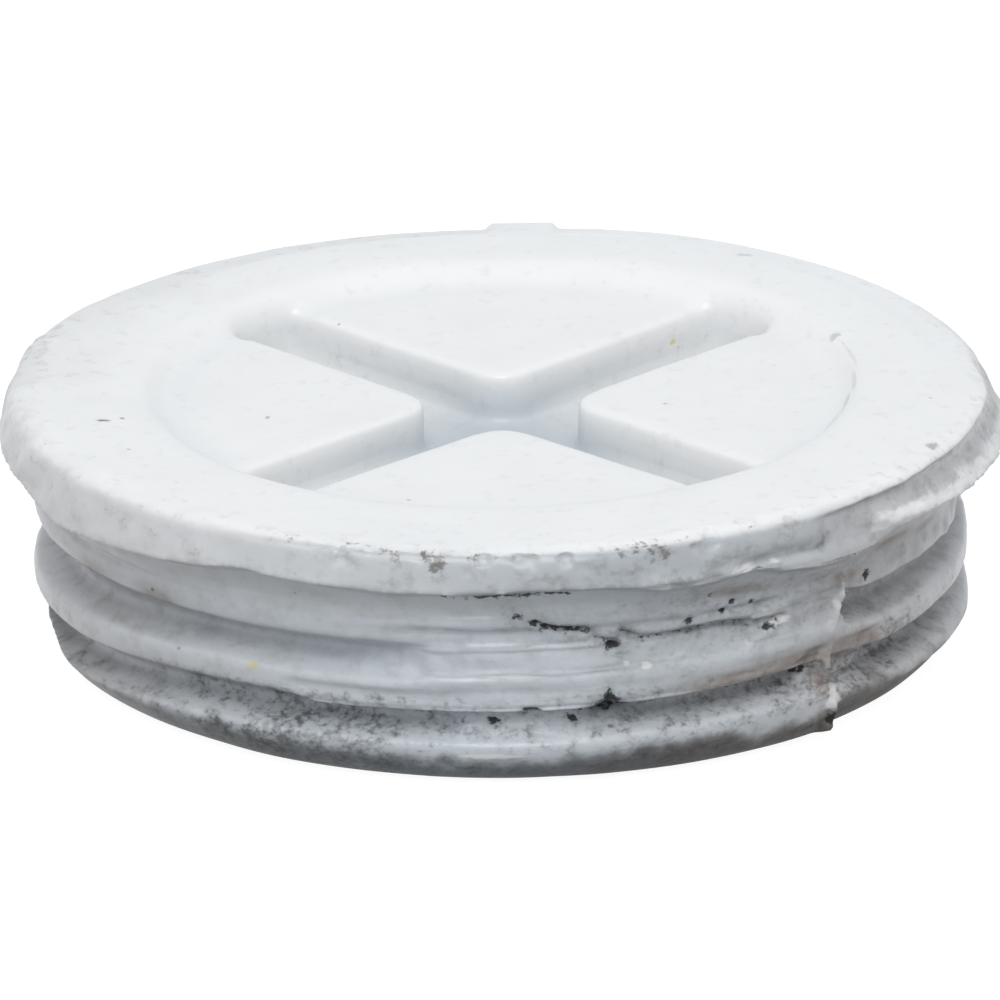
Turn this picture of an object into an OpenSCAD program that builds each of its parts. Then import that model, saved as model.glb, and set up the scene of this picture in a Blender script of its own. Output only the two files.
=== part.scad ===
// Threaded closure plug for a conduit entry: one die-cast piece, powder coated.
// The axis is +Z and the open rim stands on z = 0. Millimetres and degrees.

/* [Head] */
// Diameter over the lower edge of the head, its widest line
head_d = 28.1; // [27.4:0.1:31]
// Thickness of the head, from the ring on top to its lower edge
head_t = 1.25; // [1.15:0.05:2.8]
// Radial width of the rounded shoulder
shoulder_w = 1.3; // [0.6:0.1:2.4]
// Height of the rounded shoulder
shoulder_h = 0.75; // [0.4:0.05:1]
// How far the side of the head draws in between its lower edge and the shoulder
side_draw = 0.1; // [0:0.05:0.4]

/* [Thread] */
// Length of the threaded body below the head
body_h = 6.15; // [5.75:0.05:9.5]
// Diameter over the thread crests
thread_d = 26.3; // [25:0.1:26.8]
// Distance from one crest to the next
pitch = 1.814; // [1.2:0.001:2.2]
// Depth from crest to root
thread_depth = 0.85; // [0.4:0.05:1]
// Width of the flat on each crest
crest_flat = 0.6; // [0.3:0.05:0.8]
// Width of the flat at the root
root_flat = 0.2; // [0.1:0.05:0.3]
// Depth of the groove's first turn below the head, on the -Y side
groove_drop = 2.33; // [1.8:0.01:2.7]
// Height of the relief between the thread and the head
neck_h = 1.1; // [0.8:0.05:1.3]
// Depth of the relief below the crests
neck_depth = 0.45; // [0.2:0.05:0.8]
// Radial width of the rounded lead-in at the foot
lead_w = 1.4; // [0.4:0.05:1.8]
// Height of the rounded lead-in at the foot
lead_h = 1.25; // [0.4:0.05:1.6]

/* [Driver recess] */
// Diameter of the shallow dish where it meets the ring
dish_d = 20; // [18:0.1:21]
// Depth of the dish below the ring
dish_depth = 0.6; // [0.3:0.05:0.9]
// Radial width of the dish's rounded wall
dish_draw = 0.35; // [0.1:0.05:0.6]
// Width of each arm of the cross
slot_w = 2.4; // [1.6:0.1:3.2]
// Depth of the cross below the dish
slot_depth = 1.5; // [0.8:0.1:1.6]
// Radius on the inner corner of each sector between the arms
tip_r = 1.1; // [0.6:0.1:1.6]
// Radius on the top edges of the sectors
edge_r = 0.25; // [0.1:0.05:0.5]

/* [Underside] */
// Wall between the thread root and the hollow
skirt_t = 1.3; // [1:0.1:2]
// Draft of the hollow's wall
draft = 2; // [0.5:0.5:3]
// Metal under each sector
roof_t = 1.8; // [1.2:0.1:2]
// Metal under the floor of the cross
web_t = 1.2; // [0.9:0.1:1.3]
// Metal beside each arm of the cross
web_side = 1.3; // [0.9:0.1:1.8]
// Radius on the inner corner of each pocket in the roof
pocket_r = 1.5; // [0.5:0.1:2.5]
// Fillet where the hollow's wall meets its roof
roof_fillet = 0.4; // [0.2:0.05:0.6]

/* [Hidden] */
$fn = 96;

// Cuts run past the faces that they leave by this much
over = 0.5;
// Straight steps in each rounded corner of a turned outline
arc_steps = 8;
// Layers in the rounded top edge of a sector, how thick each is, and the arcs of their outline
edge_steps = 4;
edge_layer = 0.02;
edge_fn = 32;

total_h = body_h + head_t;
head_r = head_d / 2;
thread_r = thread_d / 2;
root_r = thread_r - thread_depth;
neck_r = thread_r - neck_depth;
neck_z = body_h - neck_h;
side_r = head_r - side_draw;

dish_r = dish_d / 2;
dish_foot_r = dish_r - dish_draw;
sector_z = total_h - dish_depth;
floor_z = sector_z - slot_depth;

hollow_r = root_r - skirt_t;
roof_z = sector_z - roof_t;
roof_r = hollow_r - roof_z * tan(draft);
web_z = floor_z - web_t;
web_r = hollow_r - web_z * tan(draft);

// The groove climbs to the right from the lead-in to the relief, and fades in and out.
// Its turns are counted from the -Y side, where the first one lies at groove_z
groove_z = body_h - groove_drop;
groove_from = (lead_h / 2 - groove_z) / pitch;
groove_to = (neck_z + neck_h / 2 - groove_z) / pitch;
fade_turns = 0.3;
steps_per_turn = 56;
groove_open = (pitch - crest_flat) / 2;
flank = (groove_open - root_flat / 2) / thread_depth;

// Points along a quarter of an ellipse, from angle a0 to a1
function quarter(centre, rx, rz, a0, a1) =
    [ for (i = [0:arc_steps])
        let (a = a0 + (a1 - a0) * i / arc_steps)
        centre + [rx * cos(a), rz * sin(a)] ];

// Outline of the turned blank, from the foot of the body up to the ring
function blank_outline() = concat(
    [[0, 0]],
    quarter([thread_r - lead_w, lead_h], lead_w, lead_h, -90, 0),
    [[thread_r, neck_z], [neck_r, neck_z + neck_depth / 2], [neck_r, body_h], [head_r, body_h]],
    quarter([side_r - shoulder_w, total_h - shoulder_h], shoulder_w, shoulder_h, 0, 90),
    [[0, total_h]]);

// How deep the groove is at each turn: full, and run out at both ends
function groove_fill(turn) =
    max(0, min(1, (turn - groove_from) / fade_turns, (groove_to - turn) / fade_turns));

// The four corners of the groove cutter at one turn
function groove_section(turn) =
    let (deep = thread_depth * groove_fill(turn),
         root = thread_r - deep,
         half_root = groove_open - flank * deep,
         half_out = groove_open + flank * over,
         a = 360 * turn - 90,
         z = groove_z + pitch * turn)
    [ for (p = [[root, -half_root], [thread_r + over, -half_out], [thread_r + over, half_out], [root, half_root]])
        [p[0] * cos(a), p[0] * sin(a), z + p[1]] ];

// Helical groove between the thread crests, as a cutter
module thread_groove() {
    count = round((groove_to - groove_from) * steps_per_turn);
    corners = [ for (i = [0:count]) each groove_section(groove_from + i / steps_per_turn) ];
    sides = [ for (i = [0:count - 1], j = [0:3])
        let (k = (j + 1) % 4)
        [4 * i + j, 4 * i + k, 4 * i + 4 + k, 4 * i + 4 + j] ];
    first = [[3, 2, 1, 0]];
    last = [[for (j = [0:3]) 4 * count + j]];
    polyhedron(corners, concat(sides, first, last), convexity = 10);
}

// Outline of the sector round +X that the arms of a cross leave in a circle
module sector(half_gap, corner_r, outer_r) {
    intersection() {
        circle(r = outer_r);
        rotate(-45) {
            translate([half_gap + corner_r, half_gap]) square(outer_r);
            translate([half_gap, half_gap + corner_r]) square(outer_r);
            translate([half_gap + corner_r, half_gap + corner_r]) circle(r = corner_r);
        }
    }
}

// Its children on each of +X, +Y, -X and -Y
module four_ways() {
    for (turn = [0:90:270])
        rotate(turn) children();
}

// The metal between two arms of the cross, with rounded top edges. It reaches into the ring
module sector_block() {
    $fn = edge_fn;
    outer_r = dish_foot_r + over;
    hull() {
        translate([0, 0, floor_z - over])
            linear_extrude(height = over + slot_depth - edge_r)
                sector(slot_w / 2, tip_r, outer_r);
        for (i = [1:edge_steps]) {
            a = 90 * i / edge_steps;
            inset = edge_r * (1 - cos(a));
            translate([0, 0, sector_z - edge_r * (1 - sin(a)) - edge_layer])
                linear_extrude(height = edge_layer)
                    sector(slot_w / 2 + inset, tip_r - inset, outer_r);
        }
    }
}

// Shallow dish and the cross below it, as a cutter
module driver_recess() {
    rotate_extrude()
        polygon(concat(
            [[0, sector_z]],
            quarter([dish_r, sector_z], dish_draw, dish_depth, 180, 90),
            [[dish_r, total_h + over], [0, total_h + over]]));
    difference() {
        translate([0, 0, floor_z])
            cylinder(h = slot_depth + dish_depth / 2, r = dish_foot_r);
        four_ways() sector_block();
    }
}

// Hollow below the head, as a cutter: a drafted bore with four pockets in its roof
module underside_hollow() {
    translate([0, 0, -over])
        cylinder(h = web_z + over, r1 = hollow_r + over * tan(draft), r2 = web_r);
    intersection() {
        rotate_extrude()
            polygon(concat(
                [[0, 0], [hollow_r, 0]],
                quarter([roof_r - roof_fillet, roof_z - roof_fillet], roof_fillet, roof_fillet, 0, 90),
                [[0, roof_z]]));
        linear_extrude(height = roof_z + over)
            four_ways() sector(slot_w / 2 + web_side, pocket_r, hollow_r + over);
    }
}

// The whole casting
module plug() {
    color("whitesmoke")
        difference() {
            rotate_extrude() polygon(blank_outline());
            thread_groove();
            driver_recess();
            underside_hollow();
        }
}

plug();
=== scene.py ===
import math

import bpy
import numpy as np
from bpy.props import FloatProperty, FloatVectorProperty, IntProperty, PointerProperty
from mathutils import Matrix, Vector


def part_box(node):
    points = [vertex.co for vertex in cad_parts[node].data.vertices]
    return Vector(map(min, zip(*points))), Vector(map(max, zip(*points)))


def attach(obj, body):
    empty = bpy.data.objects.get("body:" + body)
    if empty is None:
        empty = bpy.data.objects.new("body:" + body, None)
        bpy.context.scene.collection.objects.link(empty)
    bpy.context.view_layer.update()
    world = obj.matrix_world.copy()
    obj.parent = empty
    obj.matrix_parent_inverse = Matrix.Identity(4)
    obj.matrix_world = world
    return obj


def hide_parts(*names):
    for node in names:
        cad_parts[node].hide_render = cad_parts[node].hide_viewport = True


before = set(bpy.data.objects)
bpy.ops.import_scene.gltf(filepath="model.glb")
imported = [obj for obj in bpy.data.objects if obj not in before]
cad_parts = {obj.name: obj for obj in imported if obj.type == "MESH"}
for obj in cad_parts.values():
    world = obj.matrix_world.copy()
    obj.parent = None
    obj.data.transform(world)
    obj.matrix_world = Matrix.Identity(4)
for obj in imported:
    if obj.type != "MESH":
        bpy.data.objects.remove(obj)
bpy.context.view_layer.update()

bl_info = {
    "name": "Threaded closure plug",
    "version": (1, 0, 0),
    "blender": (4, 5, 0),
    "location": "3D View > Sidebar > Plug",
    "description": "A die-cast, powder-coated closure plug with its flash, knocks and dirt",
    "category": "Add Mesh",
}

# The frame: the plug stands on its open rim at z = 0, its axis is +Z, and -Y faces the viewer.
LOW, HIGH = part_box("plug")
HEAD_R = (HIGH.x - LOW.x) / 2
TOP_Z = HIGH.z
MM = 0.001

# Cutters run past the faces that they leave by this much
OVER = 0.5 * MM
# Vertices closer than this are one
MERGE = 0.002 * MM
# Straight sides in a turned face, in a sector's round outline and in a third of the thread's cutter
SIDES = 180
SECTOR_SIDES = 96
CUTTER_STEPS = 60
# Draft of the hollow's wall
DRAFT = math.radians(2)


# ---------------------------------------------------------------- sizes and colours


def length_prop(name, description, value):
    """A length, given in millimetres."""
    return FloatProperty(name=name, description=description, default=value * MM, unit="LENGTH", precision=6)


def count_prop(name, description, value):
    """A number of passes."""
    return IntProperty(name=name, description=description, default=value, min=0)


def colour_prop(name, description, value):
    """A colour, in linear red, green and blue."""
    return FloatVectorProperty(name=name, description=description, default=value, subtype="COLOR")


class PlugSizes(bpy.types.PropertyGroup):
    head_t: length_prop("Head thickness", "From the ring on top to the head's lower edge", 1.25)
    shoulder_w: length_prop("Shoulder width", "Radial width of the rounded shoulder", 1.0)
    shoulder_h: length_prop("Shoulder height", "Height of the rounded shoulder", 0.6)
    side_draw: length_prop("Side draw", "How far the head's side draws in above its lower edge", 0.1)
    thread_r: length_prop("Thread radius", "Radius over the thread crests", 13.2)
    pitch: length_prop("Pitch", "Distance from one crest to the next", 1.814)
    thread_depth: length_prop("Thread depth", "From crest to root, before the coat fills it", 1.0)
    groove_open: length_prop("Groove width", "Width of the groove at the crests", 1.15)
    groove_root: length_prop("Groove root", "Width of the groove at its root", 0.35)
    groove_drop: length_prop("First groove", "Its depth below the head on the viewer's side", 2.33)
    neck_h: length_prop("Relief height", "Height of the relief between thread and head", 1.1)
    coat: length_prop("Coat", "Thickness of the coat on the head's edge", 0.06)
    neck_depth: length_prop("Relief depth", "Depth of the relief below the crests", 0.3)
    lead_w: length_prop("Lead-in width", "Radial width of the rounded foot", 1.4)
    lead_h: length_prop("Lead-in height", "Height of the rounded foot", 1.25)
    dish_r: length_prop("Dish radius", "Radius of the dish at the ring", 10.0)
    dish_draw: length_prop("Dish wall", "Radial width of the dish's wall", 0.35)
    dish_depth: length_prop("Dish depth", "Depth of the dish below the ring", 0.6)
    slot_w: length_prop("Arm width", "Width of each arm of the cross", 2.4)
    slot_depth: length_prop("Arm depth", "Depth of the cross below the dish", 1.5)
    tip_r: length_prop("Tip radius", "Radius on the inner corner of each sector", 1.1)
    hollow_r: length_prop("Hollow radius", "Radius of the hollow at the open rim", 11.0)
    web_z: length_prop("Web height", "Height of the metal under the cross", 4.1)
    roof_z: length_prop("Roof height", "Height of the pockets' roof", 5.0)
    web_side: length_prop("Web side", "Metal beside each arm of the cross", 1.3)
    pocket_tip_r: length_prop("Pocket radius", "Radius on the inner corner of each roof pocket", 1.5)
    voxel: length_prop("Skin cell", "Cell size of the skin that the coat is sculpted on", 0.1)
    coat_soft: count_prop("Coat softness", "Smoothing passes that round every edge as a thick coat does", 16)
    recess_soft: count_prop("Recess softness", "Further passes where the coat pools in the driver recess", 24)
    dish_soft: count_prop("Dish softness", "Further passes on the dish's wall, which runs into the ring", 90)


class PlugColours(bpy.types.PropertyGroup):
    coat: colour_prop("Coat", "White powder coat", (0.86, 0.85, 0.845))
    # The outer wall's two coats are painted shade: darker than the top, cooler on the thread and a warmer
    # grey at both sides.
    shaded_wall_coat: colour_prop("Thin coat", "Coat over the thread, thinner and cooler", (0.61, 0.65, 0.69))
    shaded_side_coat: colour_prop("Handled coat", "Coat at both sides, greyed by handling", (0.59, 0.58, 0.59))
    # Smudge also paints the line of shade along the dish's crease.
    smudge_and_shade: colour_prop("Smudge", "Faint handling marks on the head", (0.42, 0.41, 0.38))
    # Grime is dirt and painted shade alike: in the grooves, under the head, on the foot and on the head's
    # side.
    grime: colour_prop("Grime", "Dirt in the grooves", (0.10, 0.112, 0.125))
    warm_grime_and_shade: colour_prop("Warm grime", "Browner dirt at both sides", (0.105, 0.094, 0.085))
    # Black fills the pits and specks, and paints the shadow line under the head's lower edge.
    black: colour_prop("Pit dirt", "Dirt packed in the pits", (0.018, 0.018, 0.018))
    rust: colour_prop("Rust", "Chips on the rim", (0.13, 0.11, 0.085))
    # Painted shade, bluish, low in the driver recess and on the slots' end walls.
    pool: colour_prop("Pooled dirt", "Bluish film low in the driver recess", (0.42, 0.49, 0.54))
    yellow: colour_prop("Yellow fleck", "Flecks of another paint", (0.66, 0.58, 0.16))
    metal: colour_prop("Bare metal", "Zinc where the coat is torn off", (0.22, 0.17, 0.14))
    coat_roughness: FloatProperty(
        name="Coat roughness", description="Sheen of the clean coat", default=0.3, min=0, max=1)
    peel_depth: length_prop("Orange peel", "Depth of the coat's slow ripple", 0.012)
    grain_depth: length_prop("Grain", "Depth of the coat's fine grain", 0.003)


class PlugStage(bpy.types.PropertyGroup):
    camera_elevation: FloatProperty(
        name="Camera elevation", description="Height of the view above the bench",
        default=math.radians(20.2), subtype="ANGLE")
    camera_distance: FloatProperty(
        name="Camera distance", description="From the plug to the lens", default=1.2, unit="LENGTH")
    view_w: length_prop("View width", "Width that the view takes in at the plug", 28.22)
    aim_x: length_prop("Aim across", "Centre of the view, across", -0.03)
    aim_z: length_prop("Aim height", "Centre of the view, above the bench", 3.838)
    sky: FloatProperty(name="Sky", description="Strength of the soft light all round", default=0.8)
    key: FloatProperty(name="Key", description="Power of the lamp in front", default=0.95)


def sizes():
    return bpy.context.scene.plug_sizes


def colours():
    return bpy.context.scene.plug_colours


# ---------------------------------------------------------------- modelling helpers


def deselect():
    if bpy.context.object and bpy.context.object.mode != "OBJECT":
        bpy.ops.object.mode_set(mode="OBJECT")
    bpy.ops.object.select_all(action="DESELECT")


def activate(obj):
    deselect()
    obj.select_set(True)
    bpy.context.view_layer.objects.active = obj
    return obj


def edit(obj, select=()):
    """Enters edit mode with the given kind of element selected: VERT, EDGE or FACE."""
    activate(obj)
    bpy.ops.object.mode_set(mode="EDIT")
    if select:
        bpy.ops.mesh.select_mode(type=select)


def place_in_mesh(obj):
    """Puts the object's place, turn and scale into its mesh."""
    activate(obj)
    bpy.ops.object.transform_apply(location=True, rotation=True, scale=True)
    return obj


def object_mode():
    bpy.ops.object.mode_set(mode="OBJECT")


def select_all():
    bpy.ops.mesh.select_all(action="SELECT")


def tidy_mesh(obj):
    """Merges doubles and turns the faces outwards."""
    edit(obj, "VERT")
    select_all()
    bpy.ops.mesh.remove_doubles(threshold=MERGE)
    bpy.ops.mesh.normals_make_consistent(inside=False)
    object_mode()
    return obj


def apply_modifier(obj, kind, **values):
    activate(obj)
    modifier = obj.modifiers.new(kind.title(), kind)
    for name, value in values.items():
        setattr(modifier, name, value)
    bpy.ops.object.modifier_apply(modifier=modifier.name)
    return obj


def weigh(obj, name, weights):
    """A vertex group with the given weights, in steps of a tenth."""
    vertex_group = obj.vertex_groups.new(name=name)
    steps = 10
    for step in range(steps + 1):
        members = np.flatnonzero(np.round(weights * steps) == step)
        if len(members):
            vertex_group.add(members.tolist(), step / steps, "REPLACE")


def relax(obj, passes, weights=None):
    """Smooths the skin, all over or by the given weights."""
    settings = {"factor": 0.5, "iterations": passes}
    if weights is not None:
        weigh(obj, "soft", weights)
        settings["vertex_group"] = "soft"
    apply_modifier(obj, "SMOOTH", **settings)
    obj.vertex_groups.clear()


def cut(obj, tool):
    """Cuts obj with tool, and removes the tool."""
    apply_modifier(obj, "BOOLEAN", object=tool, operation="DIFFERENCE", solver="EXACT")
    bpy.data.objects.remove(tool)
    return obj


def outline(name, points):
    """An open outline in the XZ plane, drawn by extruding one vertex from point to point."""
    deselect()
    bpy.ops.mesh.primitive_plane_add(size=MM, location=(0, 0, 0))
    obj = bpy.context.object
    obj.name = name
    edit(obj, "VERT")
    bpy.ops.mesh.merge(type="CENTER")
    bpy.ops.transform.translate(value=(points[0][0], 0, points[0][1]))
    for here, there in zip(points, points[1:]):
        step = (there[0] - here[0], 0, there[1] - here[1])
        bpy.ops.mesh.extrude_region_move(TRANSFORM_OT_translate={"value": step})
    object_mode()
    return obj


def turn(obj):
    """Turns an outline into a solid about the Z axis."""
    edit(obj, "VERT")
    select_all()
    bpy.ops.mesh.spin(steps=SIDES, angle=2 * math.pi, center=(0, 0, 0), axis=(0, 0, 1))
    object_mode()
    return tidy_mesh(obj)


def quarter(centre, rx, rz, start, end, steps=8):
    """Points along part of an ellipse, from one angle to another, in degrees."""
    angles = [math.radians(start + (end - start) * i / steps) for i in range(steps + 1)]
    return [(centre[0] + rx * math.cos(a), centre[1] + rz * math.sin(a)) for a in angles]


# ---------------------------------------------------------------- the casting


def turned_blank(s):
    """Head and body in one turned solid, before any cut."""
    under_head = TOP_Z - s.head_t
    neck_r = s.thread_r - s.neck_depth
    points = [(0, 0)]
    points += quarter((s.thread_r - s.lead_w, s.lead_h), s.lead_w, s.lead_h, -90, 0)
    points += [
        (s.thread_r, under_head - s.neck_h),
        (neck_r, under_head - s.neck_h + s.neck_depth / 2),
        (neck_r, under_head),
        (HEAD_R + s.coat, under_head),
    ]
    side_r = HEAD_R + s.coat - s.side_draw
    points += quarter((side_r - s.shoulder_w, TOP_Z - s.shoulder_h), s.shoulder_w, s.shoulder_h, 0, 90)
    points += [(0, TOP_Z)]
    return turn(outline("plug_casting", points))


def thread_cutter(s):
    """The helical groove, climbing to the right from the lead-in to the relief."""
    first_z = TOP_Z - s.head_t - s.groove_drop
    start = (s.lead_h / 2 - first_z) / s.pitch
    end = (TOP_Z - s.head_t - s.neck_h / 2 - first_z) / s.pitch
    turns = end - start
    root_r = s.thread_r - s.thread_depth
    widen = (s.groove_open - s.groove_root) / 2 * OVER / s.thread_depth
    z = first_z + s.pitch * start
    section = [
        (root_r, z - s.groove_root / 2),
        (s.thread_r + OVER, z - s.groove_open / 2 - widen),
        (s.thread_r + OVER, z + s.groove_open / 2 + widen),
        (root_r, z + s.groove_root / 2),
    ]
    cutter = outline("groove", section)
    edit(cutter, "VERT")
    select_all()
    bpy.ops.mesh.edge_face_add()
    bpy.ops.transform.rotate(
        value=math.radians(90) - 2 * math.pi * start, orient_axis="Z", center_override=(0, 0, 0))
    object_mode()
    rounds = 3
    apply_modifier(
        cutter, "SCREW", axis="Z", angle=2 * math.pi * turns / rounds, iterations=rounds,
        screw_offset=s.pitch * turns / rounds, steps=CUTTER_STEPS, render_steps=CUTTER_STEPS)
    edit(cutter, "VERT")
    bpy.ops.mesh.select_all(action="DESELECT")
    bpy.ops.mesh.select_non_manifold()
    bpy.ops.mesh.fill_holes(sides=0)
    object_mode()
    return tidy_mesh(cutter)


def cone(name, low, high, r_low, r_high, sides=SIDES):
    deselect()
    bpy.ops.mesh.primitive_cone_add(
        vertices=sides, radius1=r_low, radius2=r_high, depth=high - low, location=(0, 0, (low + high) / 2))
    obj = place_in_mesh(bpy.context.object)
    obj.name = name
    return obj


def sector(name, gap, tip_r, radius, low, high):
    """The block round +X that the arms of a cross leave in a cylinder, with a rounded tip."""
    obj = cone(name, low, high, radius, radius, SECTOR_SIDES)
    edit(obj, "VERT")
    for side in (-1, 1):
        normal = Vector((1, side, 0)).normalized()
        select_all()
        bpy.ops.mesh.bisect(plane_co=normal * gap, plane_no=normal, clear_inner=True, use_fill=True)
    object_mode()
    tip_x, near = gap * math.sqrt(2), 0.05 * MM
    for face in obj.data.polygons:
        face.select = False
    for vertex in obj.data.vertices:
        vertex.select = math.hypot(vertex.co.x - tip_x, vertex.co.y) < near
    for edge in obj.data.edges:
        edge.select = all(obj.data.vertices[v].select for v in edge.vertices)
    bpy.ops.object.mode_set(mode="EDIT")
    bpy.ops.mesh.select_mode(type="EDGE")
    bpy.ops.mesh.bevel(offset=tip_r, segments=8, affect="EDGES", clamp_overlap=False)
    object_mode()
    return tidy_mesh(obj)


def four_ways(obj):
    """Copies obj to +Y, -X and -Y and joins the copies to it."""
    copies = [obj]
    for quarter_turns in (1, 2, 3):
        activate(obj)
        bpy.ops.object.duplicate()
        copy = bpy.context.object
        copy.rotation_euler.z = quarter_turns * math.pi / 2
        copies.append(place_in_mesh(copy))
    deselect()
    for copy in copies:
        copy.select_set(True)
    bpy.context.view_layer.objects.active = obj
    bpy.ops.object.join()
    return obj


def cut_driver_recess(casting, s):
    """The shallow dish, and the cross between its four raised sectors."""
    dish_z = TOP_Z - s.dish_depth
    floor_z = dish_z - s.slot_depth
    foot_r = s.dish_r - s.dish_draw
    slope = s.dish_draw / s.dish_depth
    cut(casting, cone("dish", dish_z, TOP_Z + OVER, foot_r, s.dish_r + slope * OVER))
    cross = cone("cross", floor_z, dish_z + OVER, foot_r, foot_r)
    gap = s.slot_w / 2
    blocks = four_ways(sector("block", gap, s.tip_r, foot_r + OVER, floor_z - OVER, dish_z + 2 * OVER))
    cut(casting, cut(cross, blocks))


def cut_hollow(casting, s):
    """The hollow back: a drafted bore, and a pocket above it under each sector."""
    draft = math.tan(DRAFT)
    cut(casting, cone("bore", -OVER, s.web_z, s.hollow_r + draft * OVER, s.hollow_r - draft * s.web_z))
    gap = s.slot_w / 2 + s.web_side
    radius = s.hollow_r - draft * s.roof_z
    cut(casting, four_ways(sector("pocket", gap, s.pocket_tip_r, radius, s.web_z - OVER, s.roof_z)))


def soften(casting, s):
    """Gives the casting one even skin and rounds its edges as a thick coat does."""
    apply_modifier(casting, "REMESH", mode="VOXEL", voxel_size=s.voxel, use_smooth_shade=True)
    relax(casting, s.coat_soft)
    dish_mm, floor_mm = s.dish_r / MM, (TOP_Z - s.dish_depth - s.slot_depth) / MM
    skin = Skin(casting)
    recess = 1 - smoothstep(dish_mm + 0.6, dish_mm + 0.9, skin.radius)
    recess *= smoothstep(floor_mm - 0.6, floor_mm - 0.4, skin.height)
    rim = between(dish_mm - 0.9, dish_mm + 0.9, 0.4, skin.radius)
    rim *= smoothstep(floor_mm + 1.0, floor_mm + 1.3, skin.height)
    relax(casting, s.recess_soft, recess)
    relax(casting, s.dish_soft, rim)


class PLUG_OT_cast(bpy.types.Operator):
    """Turn, cut and soften the casting"""
    bl_idname = "plug.cast"
    bl_label = "Casting"

    def execute(self, context):
        s = sizes()
        casting = turned_blank(s)
        cut(casting, thread_cutter(s))
        cut_driver_recess(casting, s)
        cut_hollow(casting, s)
        soften(casting, s)
        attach(casting, "root")
        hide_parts("plug")
        return {"FINISHED"}


# ---------------------------------------------------------------- flash, trim marks and knocks


# The wall's radius and the places below are in millimetres and degrees.
# Angles are counted round +Z from +X, so the viewer's side is at -90.
WALL_R = 13.2
# Vertices further in than this belong to the hollow back and the driver recess
SKIRT_R = 11.6
# The first groove's height on the viewer's side, and the pitch
GROOVE_Z = 3.82
PITCH = 1.814

# Strokes of the trim tool along the wall, and the line of painted shadow under the head's lower edge: angle
# and height of each turn
TORN_SCAR = ((-88.5, 5.2), (-86, 5.0), (-83, 4.75), (-80, 4.7), (-78, 4.4), (-75.5, 4.2))
LOWER_SEAM = ((-59, 2.2), (-55, 2.24), (-51, 2.28), (-48.6, 2.32))
SHADOW_UNDER_EDGE = ((-97, 5.88), (-92, 5.9), (-86, 5.95), (-82, 5.95))
PRESSED_LINE = ((-75, 4.55), (-72.5, 4.25), (-67, 4.3), (-62, 4.35), (-57, 4.2), (-53, 4.2))
PARTING_FIN = ((-44.2, 5.1), (-43.6, 4.2), (-45, 3.4), (-46, 2.5), (-45.8, 1.6), (-44.8, 1.0), (-45.8, 0.3))

# Holes left by the trim: angle, height, half width, half height and depth of each
PITS = (
    (-88.0, 5.22, 0.08, 0.06, 0.15), (-85.9, 5.0, 0.09, 0.08, 0.2), (-84.7, 4.86, 0.12, 0.1, 0.25),
    (-83.6, 4.82, 0.12, 0.07, 0.2), (-82.3, 4.74, 0.22, 0.07, 0.3), (-80.4, 4.7, 0.22, 0.06, 0.3),
    (-76.3, 4.16, 0.2, 0.1, 0.4), (-76.4, 2.16, 0.62, 0.1, 0.5), (-76.5, 2.36, 0.34, 0.16, 0.45),
    (-76.6, 2.66, 0.12, 0.2, 0.3), (-86.3, 2.35, 0.25, 0.1, 0.2), (-81.0, 1.95, 0.12, 0.09, 0.2),
    (-91.0, 1.9, 0.16, 0.1, 0.2), (-66.0, 4.62, 0.13, 0.07, 0.2), (-63.6, 5.33, 0.09, 0.06, 0.2),
    (-60.4, 5.02, 0.1, 0.07, 0.2), (-57.7, 4.9, 0.08, 0.07, 0.2), (-61.5, 4.75, 0.12, 0.09, 0.2),
    (-55.0, 4.0, 0.2, 0.08, 0.2), (-49.4, 2.32, 0.3, 0.08, 0.2), (-38.6, 4.6, 0.15, 0.12, 0.2),
    (-45.6, 0.75, 0.16, 0.12, 0.15),
)


def smoothstep(low, high, value):
    t = np.clip((value - low) / (high - low), 0, 1)
    return t * t * (3 - 2 * t)


def between(low, high, soft, value):
    """1 between low and high, falling to 0 over soft on either side."""
    return smoothstep(low - soft, low, value) * (1 - smoothstep(high, high + soft, value))


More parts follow.
